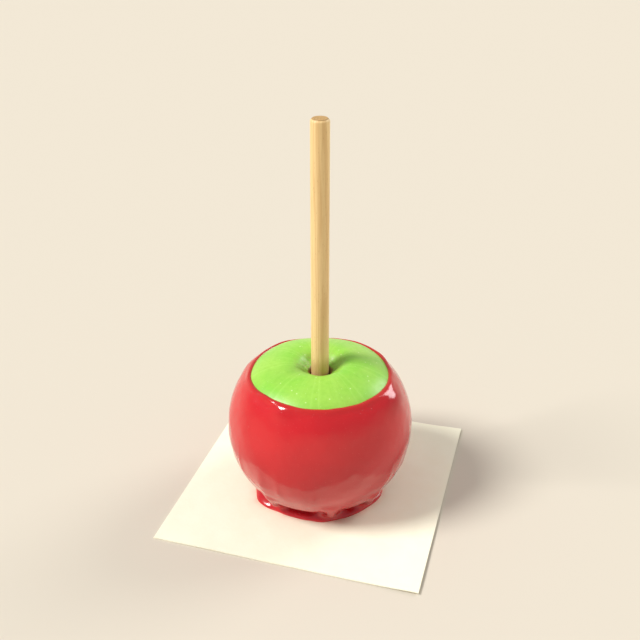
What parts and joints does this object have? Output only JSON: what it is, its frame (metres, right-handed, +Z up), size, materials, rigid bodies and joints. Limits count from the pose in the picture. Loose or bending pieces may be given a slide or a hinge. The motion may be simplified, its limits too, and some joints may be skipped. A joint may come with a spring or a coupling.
{
  "type": "toffee apple",
  "caption": "Green apple on a round wooden stick, dipped in hard red toffee that leaves its top bare and has run into a flat foot with short drips on a square of paper.",
  "frame": {"origin": "middle of the square paper's underside, under the stick's axis", "axes": "+Z up along the stick; the paper's sides run along X and Y"},
  "size_m": [0.113, 0.113, 0.1689],
  "materials": {
    "paper": "matt cream greaseproof paper, stained faintly pink round the toffee",
    "toffee": "hard clear-red toffee, glossy, deeper red where it is thick",
    "apple_skin": "waxy light green apple skin with pale dots, browned round the stick",
    "wood": "bare pale wooden dowel with fine grain"
  },
  "bodies": {
    "root": {"paper": "paper", "toffee": "toffee", "apple": "apple_skin", "stick": "wood"}
  },
  "joints": []
}
